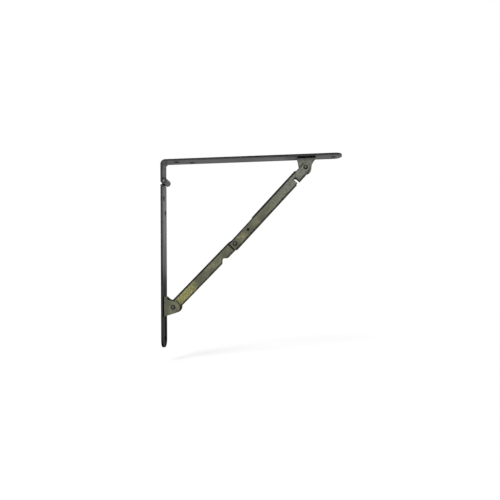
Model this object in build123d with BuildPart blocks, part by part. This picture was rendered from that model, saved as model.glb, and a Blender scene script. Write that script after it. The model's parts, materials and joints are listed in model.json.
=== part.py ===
# Folding shelf bracket: an L of two flat steel strips joined by a rolled hinge, held open by a
# two-link strut that passes its centre line at the knee.
#
# x runs out from the wall, y along it and z up. The wall is the plane x = 0, and the origin is
# the middle of the wall strip's back face. Everything is in millimetres.
from build123d import *
import os
from math import acos, asin, atan2, cos, degrees, hypot, radians, sin

os.makedirs("parts", exist_ok=True)

# Strips
strip_width = 25.0
strip_thickness = 3.5
leg_reach = 279.0             # hinge axis to the tip of the wall strip
arm_reach = 299.0             # hinge axis to the tip of the shelf strip
arm_rise = 36.5               # hinge axis to the top face of the shelf strip
bend_radius = 8.0             # outside of the shelf strip's bend

# Rolled hinge
hinge_height = 140.0
barrel_radius = 5.5
pin_radius = 2.0
running_gap = 0.05            # radial gap where one piece turns on another
knuckle_width = 8.2           # centre knuckle, on the wall strip
knuckle_gap = 0.2
knuckle_clearance = 0.6       # the shelf strip's slot around the centre knuckle
seam_width = 0.6              # slit where each rolled end stops short of its strip
seam_start = 0.3              # hinge axis to the start of that slit
strip_gap = 0.7               # barrel to the full width of the wall strip

# Screw holes, measured from the hinge axis along each strip
screw_hole_radius = 2.5
screw_sink_radius = 4.6
leg_hole_reaches = (29.0, 53.0, 264.0)
arm_hole_reaches = (20.0, 45.0, 285.0)
hole_sides = (-4.0, 5.0, 0.0)

# Strut: where its pivots stand, and the length of its lower link
lower_standoff = 16.5         # lower pivot axis to the face of the wall strip
upper_standoff = 17.5         # upper pivot axis to the underside of the shelf strip
lower_pivot_drop = 212.0      # hinge axis down to the lower pivot
upper_pivot_reach = 238.0     # hinge axis out to the upper pivot
lower_length = 146.49         # sets where the knee lies when folded, between the strips
over_centre = 2.0             # knee axis outside the line between the two pivots

# Channel links, measured from the line through their two pivots. Both have their web on the side
# of the bracket's corner, and the lower link nests in the upper one when the strut is folded.
sheet = 2.0
lower_width = 12.0
lower_web_side = 9.8          # to the outside of the web
lower_open_side = 7.0         # to the open edge
lower_end_reach = 8.1         # lower pivot to the end of the flanges
lower_end_rise = 1.5
lower_web_start = 11.0        # lower pivot to the start of the web
shoulder_reach = 8.0          # end of the web to the knee axis
shoulder_drop = 1.6
knee_radius = 6.8             # lower link's end at the knee
knee_corner = 4.0
heel_width = 6.5              # stop on the lower link that bears on its lug
vee_reach = 33.0              # knee axis to the notch in the open edge
vee_depth = 6.6
vee_root_radius = 3.0
vee_lip_radius = 4.0

upper_width = 17.0
upper_web_side = 9.3
upper_open_side = 8.2
bare_side = 7.8               # flanges where they have no web
knee_lap = 7.8                # flanges past the knee axis
lap_radius = 3.0              # corner of that lap on the open side
lap_corner = 0.8              # corner of that lap on the other side
web_start = 51.0              # knee axis to the start of the web
web_relief = 61.0             # knee axis to the end of the relief in that web
web_stop = 17.5               # end of the web to the upper pivot
web_ramp = 2.0
nest_gap = 0.25               # relief to the side of the lower link
ear_radius = 7.1              # end at the upper pivot
ear_taper = 9.0               # upper pivot to where the open edge starts to close in
pivot_notch_radius = 3.0      # over the lower pivot's spacers, when folded
pivot_notch_offset = -1.3
stop_pin_reach = 31.8         # knee axis to the stop pin
stop_pin_radius = 2.4

# Lugs, measured from their pivots along the strips
lug_base = 2.0
lower_lug_width = 23.0
lower_lug_wall = 2.5
lower_lug_reaches = (15.0, 17.0)
lower_lug_ear = 10.5
lower_crown_angle = 95.0      # where the ear's round edge turns into the hollow one
upper_lug_width = 12.0
upper_lug_wall = 2.0
upper_lug_reaches = (13.0, 17.2)
upper_lug_ear = 10.2
upper_crown_angle = 70.0
chin_angle = -78.0            # where the ear's round edge turns into the straight one
hollow_sag = (1.2, 1.6)
lower_rivet_reaches = (-11.2, 11.2)
upper_rivet_reaches = (-8.2, 12.0)

# Rivets
shank_radius = 2.5
head_radius = 3.7
head_height = 1.2
head_rim = 0.4
base_rivet_radius = 1.8
base_head_radius = 3.0
base_head_height = 1.2
upper_base_head_radius = 2.2
lower_shank_radius = 2.0      # lower pivot, thinner so that the upper link can straddle it
spacer_radius = 2.6
side_gap = 0.05               # gap at the side of a pivoted piece
beyond = 600.0                # more than any piece measures, for cuts that run out of it

# Derived places
hinge = (barrel_radius, hinge_height)
leg_tip = hinge_height - leg_reach
arm_top = hinge_height + arm_rise
arm_under = arm_top - strip_thickness
arm_tip = barrel_radius + arm_reach
lower_pivot = (strip_thickness + lower_standoff, hinge_height - lower_pivot_drop)
upper_pivot = (barrel_radius + upper_pivot_reach, arm_under - upper_standoff)


def locate_knee():
    """The knee stands over_centre outside the line from the lower to the upper pivot."""
    run = upper_pivot[0] - lower_pivot[0]
    rise = upper_pivot[1] - lower_pivot[1]
    span = hypot(run, rise)
    along = (lower_length ** 2 - over_centre ** 2) ** 0.5
    x = lower_pivot[0] + (along * run + over_centre * rise) / span
    z = lower_pivot[1] + (along * rise - over_centre * run) / span
    return (x, z)


knee = locate_knee()
upper_length = hypot(upper_pivot[0] - knee[0], upper_pivot[1] - knee[1])


def link_plane(start, end):
    """A side-view plane at start: local x towards end, local y towards the bracket's corner."""
    direction = (end[0] - start[0], 0, end[1] - start[1])
    return Plane(origin=(start[0], 0, start[1]), x_dir=direction, z_dir=(0, -1, 0))


side_view = Plane(origin=(0, 0, 0), x_dir=(1, 0, 0), z_dir=(0, -1, 0))
hinge_view = Plane(origin=(hinge[0], 0, hinge[1]), x_dir=(1, 0, 0), z_dir=(0, -1, 0))
leg_holes = [(side, hinge_height - reach) for side, reach in zip(hole_sides, leg_hole_reaches)]
arm_holes = [(barrel_radius + reach, side) for side, reach in zip(hole_sides, arm_hole_reaches)]
leg_rivets = [(0, lower_pivot[1] + reach) for reach in lower_rivet_reaches]
arm_rivets = [(upper_pivot[0] + reach, 0) for reach in upper_rivet_reaches]

# ---------------------------------------------------------------- wall strip
with BuildPart() as wall_leg:
    strip_top = hinge_height - barrel_radius - strip_gap
    with BuildSketch(Plane.YZ):
        with Locations((0, leg_tip + strip_width / 2)):
            Circle(strip_width / 2)
            Rectangle(strip_width, strip_top - leg_tip - strip_width / 2, align=(Align.CENTER, Align.MIN))
        with Locations((0, strip_top)):
            Rectangle(knuckle_width, hinge_height - strip_top, align=(Align.CENTER, Align.MIN))
    extrude(amount=strip_thickness)
    with BuildSketch(hinge_view):
        Circle(barrel_radius)
        Circle(pin_radius, mode=Mode.SUBTRACT)
        with Locations((-barrel_radius + strip_thickness, -seam_start)):
            Rectangle(seam_width, barrel_radius, align=(Align.MIN, Align.MAX), mode=Mode.SUBTRACT)
    extrude(amount=knuckle_width / 2, both=True)
    with BuildSketch(hinge_view):
        Circle(pin_radius)
    extrude(amount=knuckle_width, both=True, mode=Mode.SUBTRACT)
    for side, height in leg_holes:
        with Locations(Plane(origin=(strip_thickness, side, height), x_dir=(0, 1, 0), z_dir=(1, 0, 0))):
            CounterSinkHole(screw_hole_radius, screw_sink_radius, strip_thickness, 90)
    for side, height in leg_rivets:
        with Locations(Plane(origin=(0, side, height), x_dir=(0, -1, 0), z_dir=(-1, 0, 0))):
            CounterSinkHole(base_rivet_radius, base_head_radius, strip_thickness, 90)
    wall_leg.part.label = "wall_leg"

# ---------------------------------------------------------------- shelf strip
with BuildPart() as shelf_arm:
    with BuildSketch(side_view):
        with BuildLine():
            Polyline(
                (0, hinge_height), (0, arm_top), (arm_tip, arm_top), (arm_tip, arm_under),
                (strip_thickness, arm_under), (strip_thickness, hinge_height), close=True,
            )
        make_face()
        corners = vertices().sort_by(Axis.X)
        fillet([v for v in corners if v.X < 1 and v.Y > arm_under], bend_radius)
        inner = [v for v in vertices() if abs(v.X - strip_thickness) < 0.1 and v.Y > arm_under - 0.1]
        fillet(inner, bend_radius - strip_thickness)
    extrude(amount=strip_width / 2, both=True)
    tip_edges = edges().filter_by(Axis.Z).sort_by(Axis.X)[-2:]
    fillet(tip_edges, strip_width / 2 - 0.01)
    with BuildSketch(hinge_view):
        Rectangle(4 * barrel_radius, 2 * (barrel_radius + knuckle_clearance))
    extrude(amount=knuckle_width / 2 + knuckle_gap, both=True, mode=Mode.SUBTRACT)
    knuckle_start = knuckle_width / 2 + knuckle_gap
    for face_y, direction in ((-knuckle_start, 1), (knuckle_start, -1)):
        with BuildSketch(hinge_view.offset(-face_y)):
            Circle(barrel_radius)
            Circle(pin_radius + running_gap, mode=Mode.SUBTRACT)
            with Locations((-barrel_radius + strip_thickness, seam_start)):
                Rectangle(seam_width, barrel_radius, align=(Align.MIN, Align.MIN), mode=Mode.SUBTRACT)
        extrude(amount=direction * (strip_width / 2 - knuckle_start))
    with BuildSketch(hinge_view):
        Circle(pin_radius + running_gap)
    extrude(amount=strip_width, both=True, mode=Mode.SUBTRACT)
    for reach, side in arm_holes:
        with Locations(Plane(origin=(reach, side, arm_under), x_dir=(1, 0, 0), z_dir=(0, 0, -1))):
            CounterSinkHole(screw_hole_radius, screw_sink_radius, strip_thickness, 90)
    for reach, side in arm_rivets:
        with Locations(Plane(origin=(reach, side, arm_top), x_dir=(1, 0, 0), z_dir=(0, 0, 1))):
            CounterSinkHole(base_rivet_radius, base_head_radius, strip_thickness, 90)
    shelf_arm.part.label = "shelf_arm"

# ---------------------------------------------------------------- hinge pin
with BuildPart() as hinge_pin:
    with BuildSketch(hinge_view):
        Circle(pin_radius)
    extrude(amount=strip_width / 2, both=True)
    chamfer(edges().filter_by(GeomType.CIRCLE), 0.4)
    hinge_pin.part.label = "hinge_pin"


# ---------------------------------------------------------------- lugs
def lug_outline(standoff, near_reach, far_reach, ear, crown_angle):
    """Side outline of a lug: local x away from its strip, local y along it, the pivot at 0, 0."""
    foot = -standoff
    crown = (ear * cos(radians(crown_angle)), ear * sin(radians(crown_angle)))
    chin = (ear * cos(radians(chin_angle)), ear * sin(radians(chin_angle)))
    hollow_x = (foot + lug_base + crown[0]) / 2 - hollow_sag[0]
    hollow = (hollow_x, (far_reach + crown[1]) / 2 - hollow_sag[1])
    Line((foot, -near_reach), (foot, far_reach))
    Line((foot, far_reach), (foot + lug_base, far_reach))
    ThreePointArc((foot + lug_base, far_reach), hollow, crown)
    ThreePointArc(crown, (ear, 0), chin)
    Line(chin, (foot + lug_base, -near_reach))
    Line((foot + lug_base, -near_reach), (foot, -near_reach))


lower_lug_plane = Plane(origin=(lower_pivot[0], 0, lower_pivot[1]), x_dir=(1, 0, 0), z_dir=(0, -1, 0))
upper_lug_plane = Plane(origin=(upper_pivot[0], 0, upper_pivot[1]), x_dir=(0, 0, -1), z_dir=(0, -1, 0))

with BuildPart() as lower_lug:
    with BuildSketch(lower_lug_plane):
        with BuildLine():
            lug_outline(lower_standoff, *lower_lug_reaches, lower_lug_ear, lower_crown_angle)
        make_face()
    extrude(amount=lower_lug_width / 2, both=True)
    back_edges = edges().filter_by(Axis.Z).filter_by(lambda e: e.center().X < strip_thickness + 0.1)
    fillet(back_edges, lug_base)
    with BuildSketch(lower_lug_plane):
        with Locations((lug_base - lower_standoff, 0)):
            Rectangle(beyond, beyond, align=(Align.MIN, Align.CENTER))
    extrude(amount=lower_lug_width / 2 - lower_lug_wall, both=True, mode=Mode.SUBTRACT)
    with BuildSketch(lower_lug_plane):
        Circle(lower_shank_radius)
    extrude(amount=lower_lug_width, both=True, mode=Mode.SUBTRACT)
    for side, height in leg_rivets:
        with Locations(Plane(origin=(strip_thickness + lug_base, side, height), z_dir=(1, 0, 0))):
            Hole(base_rivet_radius, lug_base)
    lower_lug.part.label = "lower_lug"

with BuildPart() as upper_lug:
    with BuildSketch(upper_lug_plane):
        with BuildLine():
            lug_outline(upper_standoff, *upper_lug_reaches, upper_lug_ear, upper_crown_angle)
        make_face()
    extrude(amount=upper_lug_width / 2, both=True)
    back_edges = edges().filter_by(Axis.X).filter_by(lambda e: e.center().Z > arm_under - 0.1)
    fillet(back_edges, lug_base)
    with BuildSketch(upper_lug_plane):
        with Locations((lug_base - upper_standoff, 0)):
            Rectangle(beyond, beyond, align=(Align.MIN, Align.CENTER))
    extrude(amount=upper_lug_width / 2 - upper_lug_wall, both=True, mode=Mode.SUBTRACT)
    with BuildSketch(upper_lug_plane):
        Circle(shank_radius)
    extrude(amount=upper_lug_width, both=True, mode=Mode.SUBTRACT)
    for reach, side in arm_rivets:
        with Locations(Plane(origin=(reach, side, arm_under - lug_base), z_dir=(0, 0, -1))):
            Hole(base_rivet_radius, lug_base)
    upper_lug.part.label = "upper_lug"


# ---------------------------------------------------------------- rivets
def dome(radius, base, height):
    """Half outline of a rivet's domed head, from its rim to its crown on the axis."""
    ball = (radius ** 2 + height ** 2) / (2 * abs(height))
    half_angle = asin(radius / ball) / 2
    fall = ball * (1 - cos(half_angle))
    middle = (ball * sin(half_angle), base + height - (fall if height > 0 else -fall))
    ThreePointArc((radius, base), middle, (0, base + height))


def base_rivet_outline(head):
    """Half outline of a lug's rivet: local x from its axis, local y from its flush end to its head."""
    grip = strip_thickness + lug_base
    sink = base_head_radius - base_rivet_radius
    Line((0, 0), (base_head_radius, 0))
    Line((base_head_radius, 0), (base_rivet_radius, sink))
    Line((base_rivet_radius, sink), (base_rivet_radius, grip))
    Line((base_rivet_radius, grip), (head, grip))
    dome(head, grip, base_head_height)
    Line((0, grip + base_head_height), (0, 0))


with BuildPart() as lower_lug_rivets:
    for side, height in leg_rivets:
        with BuildSketch(Plane(origin=(0, side, height), x_dir=(0, 0, 1), z_dir=(0, 1, 0))):
            with BuildLine():
                base_rivet_outline(base_head_radius)
            make_face()
        revolve(axis=Axis((0, side, height), (1, 0, 0)))
    lower_lug_rivets.part.label = "lower_lug_rivets"

with BuildPart() as upper_lug_rivets:
    for reach, side in arm_rivets:
        with BuildSketch(Plane(origin=(reach, side, arm_top), x_dir=(1, 0, 0), z_dir=(0, 1, 0))):
            with BuildLine():
                base_rivet_outline(upper_base_head_radius)
            make_face()
        revolve(axis=Axis((reach, side, arm_top), (0, 0, -1)))
    upper_lug_rivets.part.label = "upper_lug_rivets"


def pivot_rivet_outline(shank, grip_start, grip_end):
    """Half outline of a rivet head and shank: local x from its axis, local y across the bracket."""
    sign = 1 if grip_end > grip_start else -1
    rim = grip_end + sign * head_rim
    Line((0, grip_start), (shank, grip_start))
    Line((shank, grip_start), (shank, grip_end))
    Line((shank, grip_end), (head_radius, grip_end))
    Line((head_radius, grip_end), (head_radius, rim))
    dome(head_radius, rim, sign * (head_height - head_rim))
    Line((0, grip_end + sign * head_height), (0, grip_start))


def rivet_plane(pivot):
    """A plane through a pivot's axis: local x out along the bracket, local y across it."""
    return Plane(origin=(pivot[0], 0, pivot[1]), x_dir=(1, 0, 0), z_dir=(0, 0, 1))


def pivot_axis(pivot):
    return Axis((pivot[0], 0, pivot[1]), (0, 1, 0))


with BuildPart() as lower_pivot_rivet:
    for grip in (-lower_lug_width / 2, lower_lug_width / 2):
        with BuildSketch(rivet_plane(lower_pivot)):
            with BuildLine():
                pivot_rivet_outline(lower_shank_radius, 0, grip)
            make_face()
        revolve(axis=pivot_axis(lower_pivot))
    lower_pivot_rivet.part.label = "lower_pivot_rivet"

with BuildPart() as upper_pivot_rivet:
    for grip in (-upper_width / 2 - side_gap, upper_width / 2 + side_gap):
        with BuildSketch(rivet_plane(upper_pivot)):
            with BuildLine():
                pivot_rivet_outline(shank_radius, 0, grip)
            make_face()
        revolve(axis=pivot_axis(upper_pivot))
    upper_pivot_rivet.part.label = "upper_pivot_rivet"

# The knee rivet is in two halves, flush inside the upper link, so that the lower link passes
# between them where the two links' even turning carries it past the knee.
with BuildPart() as knee_rivet:
    for side in (-1, 1):
        with BuildSketch(rivet_plane(knee)):
            with BuildLine():
                pivot_rivet_outline(shank_radius, side * (upper_width / 2 - sheet), side * upper_width / 2)
            make_face()
        revolve(axis=pivot_axis(knee))
    knee_rivet.part.label = "knee_rivet"

# ---------------------------------------------------------------- spacers
# Two sleeves hold the lower link in the middle of its lug. The upper link's flanges lie in the
# room beside it, over the sleeves, when the strut is folded.
with BuildPart() as lower_pivot_spacers:
    spacer_start = lower_width / 2 + side_gap
    spacer_length = lower_lug_width / 2 - lower_lug_wall - spacer_start
    for side in (1, -1):
        with BuildSketch(lower_lug_plane.offset(side * spacer_start)):
            Circle(spacer_radius)
            Circle(lower_shank_radius, mode=Mode.SUBTRACT)
        extrude(amount=side * spacer_length)
    lower_pivot_spacers.part.label = "lower_pivot_spacers"

# ---------------------------------------------------------------- lower link
lower_plane = link_plane(lower_pivot, knee)
with BuildPart() as lower_link:
    shoulder = lower_length - shoulder_reach
    vee_x = lower_length - vee_reach
    with BuildSketch(lower_plane):
        with BuildLine():
            lower_end = (-lower_end_reach, lower_end_rise)
            ThreePointArc((0, lower_web_side), lower_end, (0, -lower_open_side))
            Polyline(
                (0, -lower_open_side), (lower_length, -knee_radius), (lower_length + knee_radius, 0),
                (lower_length, lower_web_side - shoulder_drop), (shoulder, lower_web_side),
                (0, lower_web_side),
            )
        make_face()
        fillet([v for v in vertices() if v.X > lower_length - 0.1], knee_corner)
        with BuildLine():
            Polyline(
                (vee_x - vee_depth, -lower_open_side), (vee_x, vee_depth - lower_open_side),
                (vee_x + vee_depth, -lower_open_side), (vee_x + vee_depth, -2 * lower_open_side),
                (vee_x - vee_depth, -2 * lower_open_side), close=True,
            )
        make_face(mode=Mode.SUBTRACT)
        fillet([v for v in vertices() if abs(v.X - vee_x) < 0.1], vee_root_radius)
        lips = [v for v in vertices() if vee_depth - 1 < abs(v.X - vee_x) < vee_depth + 1]
        fillet(lips, vee_lip_radius)
    extrude(amount=lower_width / 2, both=True)
    # The heel bears on the lug's base and stops the strut just past its centre line.
    with BuildSketch(lower_lug_plane):
        with Locations((side_gap + lug_base - lower_standoff, 0)):
            Rectangle(lower_standoff - lug_base, heel_width, align=(Align.MIN, Align.MAX))
    extrude(amount=lower_width / 2, both=True)
    back_edges = edges().filter_by(Axis(lower_plane.origin, lower_plane.x_dir))
    back_edges = back_edges.filter_by(
        lambda e: lower_plane.to_local_coords(e.center()).Y > lower_web_side - 0.1
    )
    fillet(back_edges, sheet)
    with BuildSketch(lower_plane):
        with Locations((0, lower_web_side - sheet)):
            Rectangle(beyond, beyond, align=(Align.CENTER, Align.MAX))
        with Locations((lower_web_start, 0)):
            Rectangle(beyond, beyond, align=(Align.MAX, Align.CENTER))
        with Locations((shoulder, 0)):
            Rectangle(beyond, beyond, align=(Align.MIN, Align.CENTER))
    extrude(amount=lower_width / 2 - sheet, both=True, mode=Mode.SUBTRACT)
    with BuildSketch(lower_plane):
        Circle(lower_shank_radius + running_gap)
        with Locations((lower_length, 0)):
            Circle(shank_radius + running_gap)
    extrude(amount=lower_width, both=True, mode=Mode.SUBTRACT)
    lower_link.part.label = "lower_link"

# ---------------------------------------------------------------- upper link
upper_plane = link_plane(knee, upper_pivot)
with BuildPart() as upper_link:
    web_end = upper_length - web_stop
    notch_x = upper_length - (upper_pivot_reach - lower_pivot_drop)
    with BuildSketch(upper_plane):
        with BuildLine():
            Polyline(
                (upper_length, -ear_radius), (upper_length - ear_taper, -upper_open_side),
                (-knee_lap, -upper_open_side), (-knee_lap, bare_side), (web_start - web_ramp, bare_side),
                (web_start, upper_web_side), (web_end, upper_web_side), (web_end + web_ramp, ear_radius),
                (upper_length, ear_radius),
            )
            ThreePointArc(
                (upper_length, ear_radius), (upper_length + ear_radius, 0), (upper_length, -ear_radius)
            )
        make_face()
        lap_corners = vertices().filter_by(lambda v: abs(v.X + knee_lap) < 0.1).sort_by(Axis.Y)
        fillet(lap_corners[0], lap_radius)
        fillet(lap_corners[-1], lap_corner)
    extrude(amount=upper_width / 2, both=True)
    back_edges = edges().filter_by(Axis(upper_plane.origin, upper_plane.x_dir))
    back_edges = back_edges.filter_by(
        lambda e: upper_plane.to_local_coords(e.center()).Y > upper_web_side - 0.1
    )
    fillet(back_edges, sheet)
    with BuildSketch(upper_plane):
        with Locations((0, upper_web_side - sheet)):
            Rectangle(beyond, beyond, align=(Align.CENTER, Align.MAX))
        with Locations((web_start, 0)):
            Rectangle(beyond, beyond, align=(Align.MAX, Align.CENTER))
        with Locations((web_end, 0)):
            Rectangle(beyond, beyond, align=(Align.MIN, Align.CENTER))
    extrude(amount=upper_width / 2 - sheet, both=True, mode=Mode.SUBTRACT)
    with BuildSketch(upper_plane):
        with Locations((web_relief, 0)):
            Rectangle(beyond, beyond, align=(Align.MAX, Align.CENTER))
    extrude(amount=lower_width / 2 + nest_gap, both=True, mode=Mode.SUBTRACT)
    with BuildSketch(upper_plane):
        with Locations((notch_x, pivot_notch_offset)):
            Circle(pivot_notch_radius)
            Rectangle(2 * pivot_notch_radius, 2 * upper_open_side, align=(Align.CENTER, Align.MAX))
        Circle(shank_radius)
        with Locations((upper_length, 0)):
            Circle(shank_radius + running_gap)
        with Locations((stop_pin_reach, 0)):
            Circle(stop_pin_radius)
    extrude(amount=upper_width, both=True, mode=Mode.SUBTRACT)
    upper_link.part.label = "upper_link"

# ---------------------------------------------------------------- stop pin
# In two halves, flush with both faces of each flange, for the same reason as the knee rivet.
with BuildPart() as stop_pin:
    for start in (upper_width / 2 - sheet, -upper_width / 2):
        with BuildSketch(upper_plane.offset(start)):
            with Locations((stop_pin_reach, 0)):
                Circle(stop_pin_radius)
        extrude(amount=sheet)
    stop_pin.part.label = "stop_pin"

export_step(wall_leg.part, "parts/wall_leg.step")
export_step(shelf_arm.part, "parts/shelf_arm.step")
export_step(hinge_pin.part, "parts/hinge_pin.step")
export_step(lower_lug.part, "parts/lower_lug.step")
export_step(upper_lug.part, "parts/upper_lug.step")
export_step(lower_lug_rivets.part, "parts/lower_lug_rivets.step")
export_step(upper_lug_rivets.part, "parts/upper_lug_rivets.step")
export_step(lower_pivot_rivet.part, "parts/lower_pivot_rivet.step")
export_step(upper_pivot_rivet.part, "parts/upper_pivot_rivet.step")
export_step(knee_rivet.part, "parts/knee_rivet.step")
export_step(lower_pivot_spacers.part, "parts/lower_pivot_spacers.step")
export_step(stop_pin.part, "parts/stop_pin.step")
export_step(lower_link.part, "parts/lower_link.step")
export_step(upper_link.part, "parts/upper_link.step")


def turn(start, end, pivot_from, pivot_to):
    """Degrees about +y, within half a turn, that carry one side-view direction to another."""
    first = atan2(start[1] - pivot_from[1], start[0] - pivot_from[0])
    last = atan2(end[1] - pivot_to[1], end[0] - pivot_to[0])
    return (degrees(first - last) + 180) % 360 - 180


# Folded, the arm hangs down the wall strip and both links lie between them.
folded_pivot = (hinge[0] + upper_pivot[1] - hinge[1], hinge[1] - (upper_pivot[0] - hinge[0]))
folded_span = hypot(folded_pivot[0] - lower_pivot[0], folded_pivot[1] - lower_pivot[1])
folded_cos = (lower_length ** 2 + folded_span ** 2 - upper_length ** 2) / (2 * lower_length * folded_span)
folded_angle = atan2(folded_pivot[1] - lower_pivot[1], folded_pivot[0] - lower_pivot[0]) + acos(folded_cos)
folded_knee = (
    lower_pivot[0] + lower_length * cos(folded_angle),
    lower_pivot[1] + lower_length * sin(folded_angle),
)
print("hinge", hinge, "knee", knee, "lower pivot", lower_pivot, "upper pivot", upper_pivot)
print("folded knee", folded_knee, "upper length", upper_length)
print("lower link ratio", turn(knee, folded_knee, lower_pivot, lower_pivot) / 90)
print("upper link ratio", (turn(knee, folded_knee, upper_pivot, folded_pivot) - 90) / 90)
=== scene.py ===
# %% [markdown]
# # Folding shelf bracket
#
# The bracket is two black steel strips on a rolled hinge, held square by a strut of two
# yellow-passivated channel links. The CAD pieces already have their true shapes, so this script
# only gives each one its finish and sets up a plain studio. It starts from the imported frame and
# moves none of it.

# %% Load the frame
import json
from collections import namedtuple
from math import cos, pi, radians, sin

import bpy
from mathutils import Euler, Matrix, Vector


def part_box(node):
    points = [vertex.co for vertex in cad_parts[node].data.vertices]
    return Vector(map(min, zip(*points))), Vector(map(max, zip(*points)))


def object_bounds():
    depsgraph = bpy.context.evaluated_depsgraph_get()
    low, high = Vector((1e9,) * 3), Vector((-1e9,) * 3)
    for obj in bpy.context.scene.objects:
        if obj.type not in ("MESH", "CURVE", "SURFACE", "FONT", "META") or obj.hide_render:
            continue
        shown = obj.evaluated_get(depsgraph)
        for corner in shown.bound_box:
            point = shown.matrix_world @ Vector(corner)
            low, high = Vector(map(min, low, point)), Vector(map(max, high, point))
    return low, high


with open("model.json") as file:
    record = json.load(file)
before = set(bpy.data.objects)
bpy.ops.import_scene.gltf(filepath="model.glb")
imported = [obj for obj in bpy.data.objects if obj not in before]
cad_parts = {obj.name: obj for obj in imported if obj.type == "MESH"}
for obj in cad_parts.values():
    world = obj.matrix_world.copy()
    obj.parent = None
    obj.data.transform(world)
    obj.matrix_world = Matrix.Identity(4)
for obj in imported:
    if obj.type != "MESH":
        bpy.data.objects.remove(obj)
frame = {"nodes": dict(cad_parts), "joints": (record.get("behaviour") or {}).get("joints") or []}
nodes = frame["nodes"]
cad_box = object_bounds()
print("CAD pieces:", ", ".join(sorted(nodes)))

# %% [markdown]
# ## Shared surface effects
#
# Seven effects turn up on more than one finish, so each is a node group with named sockets: the
# dark band along an edge, which is partly painted shade, the painted shade of a recess, a face
# that turns over, a stripe along a long edge, the cloudy tint of a plated surface, a patch at one
# place on a piece, and the lines of rolled stock.
# Each puts out a mask or a height only, and the shader stays in the material, where its gloss is
# set. A few helpers come first, because every group is made of the same kinds of node.

# %% Helpers for nodes
def feed(tree, socket, value):
    """Link an input to another node's socket, or set it to a plain value."""
    if isinstance(value, bpy.types.NodeSocket):
        tree.links.new(value, socket)
    else:
        socket.default_value = value


def set_up(tree, node, **settings):
    """Set a node's properties and feed its inputs, by name. An underscore stands for a space."""
    for label, value in settings.items():
        if hasattr(node, label):
            setattr(node, label, value)
        else:
            feed(tree, node.inputs[label.replace("_", " ")], value)
    return node


def add_node(tree, kind, **settings):
    return set_up(tree, tree.nodes.new(kind), **settings)


# %% Helpers for masks and values
def ramp_between(tree, source, low, high):
    """A smooth mask from 0 at low to 1 at high; each is a number or a socket."""
    step = add_node(
        tree, "ShaderNodeMapRange", interpolation_type="SMOOTHSTEP",
        Value=source, From_Min=low, From_Max=high,
    )
    return step.outputs["Result"]


def mix_value(tree, mask, low, high):
    """A value from low where the mask is 0 to high where it is 1."""
    span = add_node(tree, "ShaderNodeMapRange", Value=mask, To_Min=low, To_Max=high)
    return span.outputs["Result"]


def add_math(tree, operation, *sources):
    """What a Math node makes of those sockets, in that order."""
    node = add_node(tree, "ShaderNodeMath", operation=operation)
    for socket, source in zip(node.inputs, sources):
        tree.links.new(source, socket)
    return node.outputs["Value"]


def add_vector_math(tree, operation, first, second):
    node = add_node(tree, "ShaderNodeVectorMath", operation=operation)
    tree.links.new(first, node.inputs[0])
    tree.links.new(second, node.inputs[1])
    return node


def object_place(tree):
    """The place on the piece, in its own coordinates, so that a finish moves with its piece."""
    return add_node(tree, "ShaderNodeTexCoord").outputs["Object"]


def add_noise(tree, place, **settings):
    return add_node(tree, "ShaderNodeTexNoise", Vector=place, **settings).outputs["Fac"]


# %% Helpers for node groups
def new_group(name, inputs, outputs):
    """A shader node group with inputs {name: default} and float outputs."""
    group = bpy.data.node_groups.new(name, "ShaderNodeTree")
    for label, default in inputs.items():
        kind = "NodeSocketVector" if isinstance(default, tuple) else "NodeSocketFloat"
        socket = group.interface.new_socket(name=label, in_out="INPUT", socket_type=kind)
        socket.default_value = default
    for label in outputs:
        group.interface.new_socket(name=label, in_out="OUTPUT", socket_type="NodeSocketFloat")
    entry = group.nodes.new("NodeGroupInput")
    leave = group.nodes.new("NodeGroupOutput")
    return group, entry, leave


def use_group(tree, group, **values):
    return add_node(tree, "ShaderNodeGroup", node_tree=group, **values)


def group_mask(tree, group, **values):
    return use_group(tree, group, **values).outputs["Mask"]


# %% [markdown]
# ### Edge band
#
# A coating keeps its full colour along an edge, where nothing rubs flat against it, and the band is
# also painted shade, for the rolled edge itself turns away from the light. The Bevel node rounds
# the normal near an edge, so the angle between the rounded normal and the surface's own is large
# there and nought on flats. Noise breaks the band up, because no real edge has an even line.

# %% Edge band group
BAND_COSINES = (0.995, 0.86)  # of the angle between the normals, where the band begins and is full
BAND_GAPS = (0.25, 0.5)  # the noise leaves a gap under the first value and none over the second


def make_edge_band():
    group, entry, leave = new_group(
        "edge_band", {"Width": 0.0007, "Breakup Scale": 300.0}, ["Mask"]
    )
    bevel = add_node(group, "ShaderNodeBevel", samples=4, Radius=entry.outputs["Width"])
    geometry = add_node(group, "ShaderNodeNewGeometry")
    cosine = add_vector_math(
        group, "DOT_PRODUCT", bevel.outputs["Normal"], geometry.outputs["Normal"]
    ).outputs["Value"]
    noise = add_noise(
        group, object_place(group), Scale=entry.outputs["Breakup Scale"], Detail=4.0, Roughness=0.6
    )
    edge = ramp_between(group, cosine, *BAND_COSINES)
    unbroken = ramp_between(group, noise, *BAND_GAPS)
    group.links.new(add_math(group, "MULTIPLY", edge, unbroken), leave.inputs["Mask"])
    return group


edge_band = make_edge_band()
print("made group", edge_band.name)

# %% [markdown]
# ### Recess shade
#
# Countersinks, the slits at the knuckles and the line where a lug meets its strip are given
# painted shade, the darker the more closed in they are. The Ambient Occlusion node measures how
# open a point is, so a mask made from it can be 1 in a hole and 0 on an open face.

# %% Recess shade group
OPENNESS = (0.85, 0.35)  # how open a point is where the dark begins and where it is full


# Painted shade: the mask is 1 where a point is closed in.
def make_recess_shade():
    group, entry, leave = new_group("recess_shade", {"Reach": 0.004}, ["Mask"])
    nearby = add_node(
        group, "ShaderNodeAmbientOcclusion", samples=6, Distance=entry.outputs["Reach"]
    )
    group.links.new(ramp_between(group, nearby.outputs["AO"], *OPENNESS), leave.inputs["Mask"])
    return group


recess_shade = make_recess_shade()
print("made group", recess_shade.name)
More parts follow.
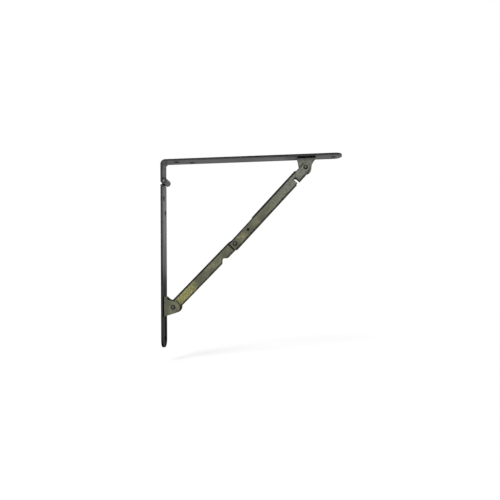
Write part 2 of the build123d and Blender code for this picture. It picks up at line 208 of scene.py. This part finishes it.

# %% [markdown]
# ### Turned face
#
# Where a flange rolls over into a web, or a rivet's head falls away to its rim, the surface is
# neither flat across the bracket nor flat along it. Every piece here turns only about the Y axis,
# so the normal's Y part tells how far a surface has turned, whatever the bracket's pose. Mask is
# 1 on the surfaces that are turning, where the zinc finishes paint shade, and Side is 1 on the
# faces that look sideways.

# %% Turned face group
SIDE_FACE = (0.7, 0.95)  # the normal's Y part where a face begins to look sideways and fully does


def make_turned_face():
    group, entry, leave = new_group(
        "turned_face", {"Flat": 0.995, "Turned": 0.94, "Gone": 0.1}, ["Mask", "Side"]
    )
    geometry = add_node(group, "ShaderNodeNewGeometry")
    split = add_node(group, "ShaderNodeSeparateXYZ", Vector=geometry.outputs["True Normal"])
    across = add_math(group, "ABSOLUTE", split.outputs["Y"])
    off_side = ramp_between(group, across, entry.outputs["Flat"], entry.outputs["Turned"])
    off_front = ramp_between(group, across, 0.0, entry.outputs["Gone"])
    group.links.new(add_math(group, "MULTIPLY", off_side, off_front), leave.inputs["Mask"])
    group.links.new(ramp_between(group, across, *SIDE_FACE), leave.inputs["Side"])
    return group


turned_face = make_turned_face()
print("made group", turned_face.name)

# %% [markdown]
# ### Stripe
#
# The long edges of a sheared strip or a bent channel are drawn dark: partly the coating or the film
# at its thickest, partly painted shade where the edge turns from the light. The same stripe paints
# the shadow line that the upper link's end casts on the lower link. A stripe lies square to one
# direction at one place along it, in the object's own coordinates, and only on the faces that look
# sideways. Noise makes its width uneven.

# %% Stripe group
def fade_out(tree, distance, size, rim):
    """A mask that is 1 within that size and falls to 0 across the rim round it."""
    return ramp_between(tree, distance, add_math(tree, "ADD", size, rim), size)


def make_stripe():
    group, entry, leave = new_group(
        "stripe",
        {"Direction": (0.0, 0.0, 1.0), "Place": 0.0, "Half Width": 0.001, "Rim": 0.001},
        ["Mask"],
    )
    where = object_place(group)
    along_it = add_vector_math(group, "DOT_PRODUCT", where, entry.outputs["Direction"])
    offset = add_math(group, "SUBTRACT", along_it.outputs["Value"], entry.outputs["Place"])
    away = add_math(group, "ABSOLUTE", offset)
    noise = add_noise(group, where, Scale=150.0, Detail=2.0, Roughness=0.6)
    both_ways = mix_value(group, noise, -1.0, 1.0)
    ragged = add_math(group, "MULTIPLY_ADD", both_ways, entry.outputs["Rim"], away)
    fade = fade_out(group, ragged, entry.outputs["Half Width"], entry.outputs["Rim"])
    side = use_group(group, turned_face).outputs["Side"]
    group.links.new(add_math(group, "MULTIPLY", fade, side), leave.inputs["Mask"])
    return group


stripe = make_stripe()
print("made group", stripe.name)

# %% [markdown]
# ### Cloudy tint
#
# Passivated zinc isn't one colour: the film is thicker in places, and its tint drifts over
# centimetres. Two noises, one broad and one small, give that drift and a finer mottling.

# %% Cloudy tint group
BROAD_DRIFT = (0.38, 0.64)  # the noise where the second tint begins and where it is full
FINE_MOTTLE = (0.3, 0.7)  # the same for the mottling


def make_cloudy_tint():
    group, entry, leave = new_group(
        "cloudy_tint", {"Scale": 22.0, "Fine Scale": 420.0}, ["Broad", "Fine"]
    )
    where = object_place(group)
    for scale, label, limits in (
        ("Scale", "Broad", BROAD_DRIFT),
        ("Fine Scale", "Fine", FINE_MOTTLE),
    ):
        noise = add_noise(group, where, Scale=entry.outputs[scale], Detail=3.0, Roughness=0.55)
        group.links.new(ramp_between(group, noise, *limits), leave.inputs[label])
    return group


cloudy_tint = make_cloudy_tint()
print("made group", cloudy_tint.name)

# %% [markdown]
# ### Patch
#
# An unevenly plated piece is a different colour at some one place, and the black strips take
# spots of painted shade, painted shadow and painted reflection the same way. A patch is a ball in
# the object's own coordinates, with a soft rim that noise pulls out of round.

# %% Patch group
def make_patch():
    group, entry, leave = new_group(
        "patch",
        {"Centre": (0.0, 0.0, 0.0), "Radius": 0.01, "Rim": 0.01, "Unevenness": 0.01},
        ["Mask"],
    )
    where = object_place(group)
    away = add_vector_math(group, "DISTANCE", where, entry.outputs["Centre"]).outputs["Value"]
    noise = add_noise(group, where, Scale=110.0, Detail=3.0, Roughness=0.6)
    ragged = add_math(group, "MULTIPLY_ADD", noise, entry.outputs["Unevenness"], away)
    fade = fade_out(group, ragged, entry.outputs["Radius"], entry.outputs["Rim"])
    group.links.new(fade, leave.inputs["Mask"])
    return group


patch = make_patch()
print("made group", patch.name)

# %% [markdown]
# ### Rolling lines
#
# Flat bar and sheet leave the mill with faint lines along their length. Noise stretched many
# times along one axis gives them. Each finish says how far its own lines are stretched, by
# scaling the object's coordinates before the noise reads them: a scale of 0.05 draws the lines
# out to 20 times their width. The pits are read without the scale, because they are round.

# %% Rolling lines group
STREAK_LIMITS = (0.44, 0.56)  # the noise where a streak begins and where it is full


def make_rolling_lines():
    group, entry, leave = new_group(
        "rolling_lines", {"Along X": 1.0, "Along Z": 1.0}, ["Lines", "Streaks", "Pits"]
    )
    where = object_place(group)
    scales = add_node(
        group, "ShaderNodeCombineXYZ", X=entry.outputs["Along X"], Y=1.0, Z=entry.outputs["Along Z"]
    )
    scaled = add_vector_math(group, "MULTIPLY", where, scales.outputs["Vector"]).outputs["Vector"]
    lines = add_noise(group, scaled, Scale=1600.0, Detail=3.0, Roughness=0.6)
    streaks = add_noise(group, scaled, Scale=170.0, Detail=1.0, Roughness=0.5)
    pits = add_noise(group, where, Scale=900.0, Detail=5.0, Roughness=0.65)
    group.links.new(lines, leave.inputs["Lines"])
    group.links.new(ramp_between(group, streaks, *STREAK_LIMITS), leave.inputs["Streaks"])
    group.links.new(pits, leave.inputs["Pits"])
    return group


rolling_lines = make_rolling_lines()
print("made group", rolling_lines.name)

# %% [markdown]
# ## Finishes
#
# A finish here is a Principled shader whose colour and roughness come from the groups. The
# black strips are a thin satin coating on steel, and the links, lugs and rivets are dull
# yellow-passivated zinc. The Mix node keeps its inputs for numbers and for colours under the
# same names, so the helpers find them by their place in the list.

# %% Helpers for a finish
def mix_colour(tree, mask, first, second):
    """A colour between first and second; each is a colour or a socket."""
    mix = add_node(tree, "ShaderNodeMix", data_type="RGBA", Factor=mask)
    for socket, value in ((mix.inputs[6], first), (mix.inputs[7], second)):
        feed(tree, socket, (*value, 1.0) if isinstance(value, tuple) else value)
    return mix.outputs[2]


def mix_between(tree, mask, first, second):
    """A value between first and second; each is a number or a socket."""
    mix = add_node(tree, "ShaderNodeMix", data_type="FLOAT", Factor=mask)
    feed(tree, mix.inputs[2], first)
    feed(tree, mix.inputs[3], second)
    return mix.outputs[0]


def add_relief(tree, shader, height, strength, distance):
    bump = add_node(tree, "ShaderNodeBump", Strength=strength, Distance=distance, Height=height)
    tree.links.new(bump.outputs["Normal"], shader.inputs["Normal"])


def new_finish(name):
    """A material, its node tree and its Principled shader."""
    finish = bpy.data.materials.new(name)
    finish.use_nodes = True
    print("made finish", name)
    return finish, finish.node_tree, finish.node_tree.nodes["Principled BSDF"]


# %% Places and edges that a finish is told of
def box_centre(node):
    low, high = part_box(node)
    return tuple((a + b) / 2 for a, b in zip(low, high))


def spot(centre, radius, rim):
    """One place on a piece, as the patch group takes it."""
    return {"Centre": centre, "Radius": radius, "Rim": rim}


def dark_line(direction, place, half_width):
    """A dark line square to that direction, as the stripe group takes it."""
    return {"Direction": direction, "Place": place, "Half_Width": half_width}


def edge_masks(tree, dark_lines, rim, width, breakup):
    """The masks of the dark lines and, last, of the band along every edge."""
    line_masks = [group_mask(tree, stripe, **line, Rim=rim) for line in dark_lines]
    return [*line_masks, group_mask(tree, edge_band, Width=width, Breakup_Scale=breakup)]


# %% [markdown]
# ### Black coated strip
#
# The coating is near black and satin, and its flats are a dark grey. A lighter grey patch on the
# wall strip's front is a painted reflection. The edges keep the coating's full black and carry
# painted shade too, and painted shade and shadow make the recesses, the stretch round the lower
# lug, the foot and a spot under the shelf strip by its lug near full black. The sheen is a clear
# coat
# over a dull base: the coat's weight may change over the surface, so it thins out where the black
# is dull, which the base's own specular level can't do without being lost when the part is
# exported.

# %% Colours and lacquer of a black strip
Coat = namedtuple("Coat", "colour lacquer")

PAINTED_REFLECTION = Coat(colour=(0.140, 0.140, 0.140), lacquer=1.0)
SHADED = Coat(colour=(0.034, 0.034, 0.034), lacquer=0.20)
SHADED_STREAK = Coat(colour=(0.003, 0.003, 0.004), lacquer=0.04)
EDGE_BLACK_AND_SHADE = Coat(colour=(0.004, 0.004, 0.005), lacquer=0.1)
HOLLOW_SHADE_BLACK = Coat(colour=(0.003, 0.003, 0.003), lacquer=0.0)
CLOUDY_BLACK = ((0.036, 0.036, 0.037), (0.062, 0.061, 0.062))
STREAK_BLACK = (0.028, 0.028, 0.029)
SIDEWAYS_BLACK = (0.024, 0.024, 0.025)
SIDEWAYS_SHARE = 0.7
PLAIN_LACQUER = (0.85, 0.65)  # between the streaks and in them
LACQUER_ROUGHNESS = 0.42
BLACK_ROUGHNESS = (0.5, 0.7)
BLACK_UNEVENNESS = 0.02


def lay_coat(tree, mask, under, over):
    """The coat as under where the mask is 0 and as over where it is 1."""
    return Coat(
        mix_colour(tree, mask, under.colour, over.colour),
        mix_between(tree, mask, under.lacquer, over.lacquer),
    )


# %% Black coated strip
def make_black_strip(name, along_x, along_z, reflected_spots, shaded_spots, dark_lines):
    """The first list holds the spots given a painted reflection, the second those given painted
    shade.
    """
    finish, tree, shader = new_finish(name)
    cloud = use_group(tree, cloudy_tint, Scale=28.0, Fine_Scale=600.0)
    lines = use_group(tree, rolling_lines, Along_X=along_x, Along_Z=along_z)
    streaks = lines.outputs["Streaks"]
    coat = Coat(
        mix_colour(tree, cloud.outputs["Broad"], *CLOUDY_BLACK),
        mix_value(tree, streaks, *PLAIN_LACQUER),
    )
    # A painted reflection: these spots turn a lighter grey, with the most lacquer.
    for place in reflected_spots:
        mask = group_mask(tree, patch, **place, Unevenness=BLACK_UNEVENNESS)
        coat = lay_coat(tree, mask, coat, PAINTED_REFLECTION)
    streaked = mix_colour(tree, streaks, coat.colour, STREAK_BLACK)
    # The faces that look sideways are drawn darker.
    sideways = mix_value(tree, use_group(tree, turned_face).outputs["Side"], 0.0, SIDEWAYS_SHARE)
    coat = Coat(mix_colour(tree, sideways, streaked, SIDEWAYS_BLACK), coat.lacquer)
    # Painted shade and painted shadow: these spots go near black, with little lacquer.
    shade_coat = lay_coat(tree, streaks, SHADED, SHADED_STREAK)
    for place in shaded_spots:
        mask = group_mask(tree, patch, **place, Unevenness=BLACK_UNEVENNESS)
        coat = lay_coat(tree, mask, coat, shade_coat)
    # The dark lines and the band along every edge: the coating's full black with painted shade.
    for mask in edge_masks(tree, dark_lines, rim=0.0012, width=0.0010, breakup=160.0):
        coat = lay_coat(tree, mask, coat, EDGE_BLACK_AND_SHADE)
    # Painted shade in recesses.
    coat = lay_coat(tree, group_mask(tree, recess_shade, Reach=0.006), coat, HOLLOW_SHADE_BLACK)
    dullness = mix_value(tree, cloud.outputs["Fine"], *BLACK_ROUGHNESS)
    set_up(tree, shader, Base_Color=coat.colour, Roughness=dullness, Coat_Weight=coat.lacquer)
    set_up(tree, shader, Specular_IOR_Level=0.0, Coat_Roughness=LACQUER_ROUGHNESS)
    add_relief(tree, shader, lines.outputs["Lines"], strength=0.18, distance=0.00006)
    return finish


# %% The two strips: where each gets a painted reflection, painted shade and dark edge lines
X_AXIS = (1.0, 0.0, 0.0)
Z_AXIS = (0.0, 0.0, 1.0)
DRAWN_OUT = 0.05
REFLECTION_AT = 0.55  # of the way from the frame's origin up to the wall strip's top
SHADOW_INWARD = 0.018  # from the upper lug's middle towards the hinge
SHADOW_BELOW = 0.010  # and down from it

lower_lug_place = box_centre("lower_lug")
upper_lug_place = box_centre("upper_lug")
leg_low, leg_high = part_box("wall_leg")
arm_low, arm_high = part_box("shelf_arm")
leg_foot = (leg_low[0], 0.0, leg_low[2])
# The painted reflection on the wall strip's front is centred this far up it.
leg_front_reflection = (leg_high[0], 0.0, REFLECTION_AT * leg_high[2])
# The painted shadow under the shelf strip lies inward from its lug and below it.
under_arm_shadow = (upper_lug_place[0] - SHADOW_INWARD, 0.0, upper_lug_place[2] - SHADOW_BELOW)
# The wall strip: painted shade round its lower lug and at its foot.
black_leg = make_black_strip(
    "black_leg",
    along_x=1.0,
    along_z=DRAWN_OUT,
    reflected_spots=[spot(leg_front_reflection, radius=0.030, rim=0.060)],
    shaded_spots=[spot(lower_lug_place, radius=0.040, rim=0.050), spot(leg_foot, radius=0.050, rim=0.060)],
    dark_lines=[dark_line(X_AXIS, leg_low[0], half_width=0.0006)],
)
black_arm = make_black_strip(
    "black_arm",
    along_x=DRAWN_OUT,
    along_z=1.0,
    reflected_spots=[],
    shaded_spots=[spot(under_arm_shadow, radius=0.024, rim=0.020)],
    dark_lines=[
        dark_line(Z_AXIS, arm_high[2], half_width=0.0008),
        dark_line(X_AXIS, arm_low[0], half_width=0.0006),
    ],
)

# %% [markdown]
# ### Yellow-passivated zinc
#
# The links and lugs are olive: a green-gold film over dull zinc. The film isn't even. It is
# golder in a patch on each link and greyer towards the shelf. The edges are darkest, partly where
# the film is thickest and partly with painted shade, the bends and hollows carry painted shade, and
# a painted shadow lies where the upper link ends on the lower one. The metal's sheen is mostly
# lost under the film, so the shader is only partly metallic and fairly rough.

# %% Yellow-passivated zinc
OLIVE = (0.250, 0.245, 0.160)
DEEP_OLIVE = (0.105, 0.108, 0.074)
GOLD = (0.390, 0.370, 0.130)
BROWN_GOLD = (0.390, 0.345, 0.170)
GREY = (0.235, 0.240, 0.215)
EDGE_FILM_AND_SHADE = (0.010, 0.011, 0.007)
HOLLOW_SHADE_OLIVE = (0.006, 0.006, 0.004)
LINK_ROUGHNESS = (0.42, 0.6)
LUG_ROUGHNESS = (0.4, 0.58)


def make_yellow_zinc(name, patches, dark_lines, roughness):
    """patches lists the spots where the film differs, each with its colour."""
    finish, tree, shader = new_finish(name)
    cloud = use_group(tree, cloudy_tint, Scale=42.0, Fine_Scale=620.0)
    lines = use_group(tree, rolling_lines, Along_X=0.4, Along_Z=0.4)
    colour = mix_colour(tree, cloud.outputs["Broad"], DEEP_OLIVE, OLIVE)
    for place, tint in patches:
        colour = mix_colour(tree, group_mask(tree, patch, **place, Unevenness=0.016), colour, tint)
    colour = mix_colour(tree, cloud.outputs["Fine"], colour, DEEP_OLIVE)
    # Painted shade where a flange rolls over into the web.
    colour = mix_colour(tree, group_mask(tree, turned_face), colour, EDGE_FILM_AND_SHADE)
    # The dark lines and the band along the edges: partly the film at its thickest, partly painted
    # shade and painted shadow.
    for mask in edge_masks(tree, dark_lines, rim=0.0010, width=0.0011, breakup=240.0):
        colour = mix_colour(tree, mask, colour, EDGE_FILM_AND_SHADE)
    # Painted shade in recesses.
    colour = mix_colour(tree, group_mask(tree, recess_shade, Reach=0.005), colour, HOLLOW_SHADE_OLIVE)
    dullness = mix_value(tree, cloud.outputs["Fine"], *roughness)
    set_up(tree, shader, Base_Color=colour, Roughness=dullness)
    set_up(tree, shader, Metallic=0.6, Specular_IOR_Level=0.3)
    add_relief(tree, shader, lines.outputs["Pits"], strength=0.3, distance=0.0001)
    return finish


# %% Measures along a link
def along(start, end, part):
    return tuple(a + (b - a) * part for a, b in zip(start, end))


def run_from(start, end):
    return (Vector(end) - Vector(start)).normalized()


def reach(node, direction):
    """The least and greatest distance of the piece's corners along direction."""
    distances = [corner.co.dot(Vector(direction)) for corner in nodes[node].data.vertices]
    return min(distances), max(distances)


def link_edges(node, start, end):
    """The dark lines at a link's rolled edge and, narrower, at its open edge, partly painted shade.
    """
    run = run_from(start, end)
    across = (run.z, 0.0, -run.x)
    rolled, opened = reach(node, across)
    return [
        dark_line(across, rolled, half_width=0.0030),
        dark_line(across, opened, half_width=0.0008),
    ]


# %% The two links and the lugs
GOLD_AT = 0.19  # of the way from the lower pivot to the knee
BROWN_GOLD_AT = 0.08  # of the way from the knee to the upper pivot
SHADOW_LINE_AT = 0.0006  # past the end of the upper link, on the lower one

knee_place = box_centre("knee_rivet")
lower_place = box_centre("lower_pivot_rivet")
upper_place = box_centre("upper_pivot_rivet")
lower_run = tuple(run_from(lower_place, knee_place))
upper_link_end = reach("upper_link", lower_run)[0]
print("the upper link ends at", round(upper_link_end, 4), "m along the lower link's run")
lower_zinc = make_yellow_zinc(
    "lower_link_zinc",
    patches=[(spot(along(lower_place, knee_place, GOLD_AT), radius=0.022, rim=0.018), GOLD)],
    dark_lines=[
        *link_edges("lower_link", lower_place, knee_place),
        # A painted shadow: the dark line that the upper link's end casts on the lower link.
        dark_line(lower_run, upper_link_end - SHADOW_LINE_AT, half_width=0.0008),
    ],
    roughness=LINK_ROUGHNESS,
)
upper_zinc = make_yellow_zinc(
    "upper_link_zinc",
    patches=[
        (spot(along(knee_place, upper_place, BROWN_GOLD_AT), radius=0.009, rim=0.014), BROWN_GOLD),
        (spot(upper_place, radius=0.040, rim=0.090), GREY),
    ],
    dark_lines=[
        *link_edges("upper_link", knee_place, upper_place),
        # Painted shade along the upper link's own cut end.
        dark_line(lower_run, upper_link_end, half_width=0.0003),
    ],
    roughness=LINK_ROUGHNESS,
)
lug_zinc = make_yellow_zinc(
    "lug_zinc",
    patches=[(spot(upper_place, radius=0.030, rim=0.020), GREY)],
    dark_lines=[],
    roughness=LUG_ROUGHNESS,
)

# %% [markdown]
# ### Headed rivets
#
# A rivet's zinc film is greyer than that of the links, because the tool that forms its head wears
# it, and its head carries painted shade round the rim and in its recess. The hinge pin is made up
# in the same way in a plain steel grey. Both are small, so their tint drifts over millimetres and
# not over centimetres.

# %% Headed rivets
RIVET_GREY = (0.24, 0.24, 0.20)
DEEP_RIVET_GREY = (0.11, 0.11, 0.09)
STEEL_GREY = (0.34, 0.34, 0.34)
DEEP_STEEL_GREY = (0.15, 0.15, 0.15)
RIVET_ROUGHNESS = (0.42, 0.6)


def make_rivet_zinc(name, film, deep):
    finish, tree, shader = new_finish(name)
    cloud = use_group(tree, cloudy_tint, Scale=260.0, Fine_Scale=900.0)
    lines = use_group(tree, rolling_lines)
    colour = mix_colour(tree, cloud.outputs["Broad"], deep, film)
    # Painted shade round the head's rim, along its edges and in its recess.
    for mask in (
        group_mask(tree, turned_face, Turned=0.965, Gone=0.05),
        group_mask(tree, edge_band, Width=0.0008, Breakup_Scale=500.0),
        group_mask(tree, recess_shade, Reach=0.002),
    ):
        colour = mix_colour(tree, mask, colour, EDGE_FILM_AND_SHADE)
    dullness = mix_value(tree, cloud.outputs["Fine"], *RIVET_ROUGHNESS)
    set_up(tree, shader, Base_Color=colour, Roughness=dullness)
    set_up(tree, shader, Metallic=0.6, Specular_IOR_Level=0.2)
    add_relief(tree, shader, lines.outputs["Pits"], strength=0.3, distance=0.0001)
    return finish


rivet_zinc = make_rivet_zinc("rivet_zinc", RIVET_GREY, DEEP_RIVET_GREY)
pin_steel = make_rivet_zinc("pin_steel", STEEL_GREY, DEEP_STEEL_GREY)

# %% [markdown]
# ### Black pin
#
# The stop pin's ends are near black all over, with no lighter spot: painted shade for the dark
# seen in the hole it sits in.

# %% Black pin
PIN_SHADE_BLACK = ((0.003, 0.003, 0.003), (0.010, 0.010, 0.009))
PIN_ROUGHNESS = (0.6, 0.8)


def make_pin_shade_black():
    finish, tree, shader = new_finish("pin_shade_black")
    cloud = use_group(tree, cloudy_tint, Scale=300.0, Fine_Scale=900.0)
    # Painted shade: the pin's colour runs between two near blacks.
    colour = mix_colour(tree, cloud.outputs["Broad"], *PIN_SHADE_BLACK)
    dullness = mix_value(tree, cloud.outputs["Fine"], *PIN_ROUGHNESS)
    set_up(tree, shader, Base_Color=colour, Roughness=dullness, Specular_IOR_Level=0.2)
    return finish


pin_shade_black = make_pin_shade_black()

# %% [markdown]
# ### Dressing the pieces
#
# Every piece is one stock with one finish, so a table from names to finishes is enough. The
# pieces that it leaves out are all rivets and sleeves.

# %% Give every CAD piece its finish
finishes = {
    "wall_leg": black_leg,
    "shelf_arm": black_arm,
    "hinge_pin": pin_steel,
    "lower_lug": lug_zinc,
    "upper_lug": lug_zinc,
    "lower_link": lower_zinc,
    "upper_link": upper_zinc,
    "stop_pin": pin_shade_black,
}


def dress(piece, finish):
    piece.data.materials.clear()
    piece.data.materials.append(finish)


for name, node in nodes.items():
    dress(node, finishes.get(name, rivet_zinc))
    print(name, "->", node.data.materials[0].name)

# %% [markdown]
# ## The studio
#
# The floor and the background are one white surface. A lit floor never renders an even white, so
# to the camera and in reflections most of its white is emission, and the rest is the light that
# falls on it. That keeps the shadow and loses the horizon. The bracket hangs on a wall in use,
# and the floor lies just below the place that its arm folds down to.

# %% Where the floor lies
FLOOR_GAP = 0.004

fold_joint = next(joint for joint in frame["joints"] if joint["name"] == "arm_fold")
folded_tip = fold_joint["pos_m"][2] - (arm_high[0] - fold_joint["pos_m"][0])
floor_level = min(cad_box[0][2], folded_tip) - FLOOR_GAP
print("floor level", round(floor_level, 4))

# %% Floor
SUN_SHARE = 0.30
AMBIENT = 0.62
WHITE = (1.0, 1.0, 1.0, 1.0)
FLOOR_GREY = 0.5
FLOOR_HALF = 12.0
FLOOR_SEEN = 1.03  # a little over white, so that no part of the open floor renders grey


def mark_seen(tree):
    """1 for the rays that should see the white background: camera, glossy and transmission."""
    paths = add_node(tree, "ShaderNodeLightPath").outputs
    seen = add_math(tree, "MAXIMUM", paths["Is Camera Ray"], paths["Is Glossy Ray"])
    return add_math(tree, "MAXIMUM", seen, paths["Is Transmission Ray"])


def make_floor():
    finish, tree, shader = new_finish("studio_floor")
    grey = (FLOOR_GREY, FLOOR_GREY, FLOOR_GREY, 1.0)
    glow = FLOOR_SEEN - FLOOR_GREY * (AMBIENT + SUN_SHARE)
    strength = mix_value(tree, mark_seen(tree), 0.0, glow)
    set_up(tree, shader, Base_Color=grey, Roughness=1.0, Specular_IOR_Level=0.0)
    set_up(tree, shader, Emission_Color=WHITE, Emission_Strength=strength)
    signs = ((-1, -1), (1, -1), (1, 1), (-1, 1))
    corners = [(x * FLOOR_HALF, y * FLOOR_HALF, floor_level) for x, y in signs]
    mesh = bpy.data.meshes.new("studio_floor")
    mesh.from_pydata(corners, [], [(0, 1, 2, 3)])
    mesh.materials.append(finish)
    floor = bpy.data.objects.new("studio_floor", mesh)
    bpy.context.scene.collection.objects.link(floor)


make_floor()

# %% World: white where it is seen, a plain soft light where it lights
def make_world():
    world = bpy.data.worlds.new("studio_world")
    bpy.context.scene.world = world
    world.use_nodes = True
    tree = world.node_tree
    strength = mix_value(tree, mark_seen(tree), AMBIENT, 1.0)
    set_up(tree, tree.nodes["Background"], Color=WHITE, Strength=strength)
    print("made world", world.name)


make_world()

# %% [markdown]
# The key light is a sun with a wide angle. A sun lights the whole floor alike, so the white stays
# even to the horizon, and the wide angle makes its shadow as soft as a large studio lamp's.

# %% Key light
SUN_SHIFT = (-0.5, -0.9, 1.0)  # from the bracket's middle: to the left, in front and above
SUN_SPREAD = 22.0


def add_sun(name, aim, shift, share, spread):
    """share is what the sun adds to a level white surface."""
    direction = Vector(shift)
    lamp = bpy.data.lights.new(name, "SUN")
    lamp.angle = radians(spread)
    lamp.energy = share * pi / direction.normalized().z
    holder = bpy.data.objects.new(name, lamp)
    holder.location = Vector(aim) + direction
    holder.rotation_euler = direction.to_track_quat("Z", "Y").to_euler()
    bpy.context.scene.collection.objects.link(holder)
    print("sun strength", round(lamp.energy, 3))


middle = tuple((low + high) / 2 for low, high in zip(*cad_box))
add_sun("key_light", middle, SUN_SHIFT, SUN_SHARE, SUN_SPREAD)

# %% [markdown]
# ## The camera
#
# The bracket is seen square on from its side, from about 70 cm. At that distance the strips'
# width still shows: the shelf strip's underside and the front of the wall strip are in view.

# %% Camera
CAMERA_PLACE = (0.1941, -0.6840, -0.0241)
YAW = radians(-3.85)
PITCH = radians(3.71)
ROLL = radians(-1.06)
SENSOR_WIDTH = 36.0
LENS = 29.62


def add_camera():
    camera = bpy.data.cameras.new("camera")
    camera.sensor_width = SENSOR_WIDTH
    camera.lens = LENS
    holder = bpy.data.objects.new("camera", camera)
    holder.location = CAMERA_PLACE
    aim = Vector((sin(YAW) * cos(PITCH), cos(YAW) * cos(PITCH), sin(PITCH)))
    turn = aim.to_track_quat("-Z", "Y").to_matrix().to_4x4()
    holder.rotation_euler = (turn @ Euler((0, 0, ROLL)).to_matrix().to_4x4()).to_euler()
    bpy.context.scene.collection.objects.link(holder)
    bpy.context.scene.camera = holder


add_camera()
bpy.context.scene.view_settings.view_transform = "Standard"
print("camera at", CAMERA_PLACE)
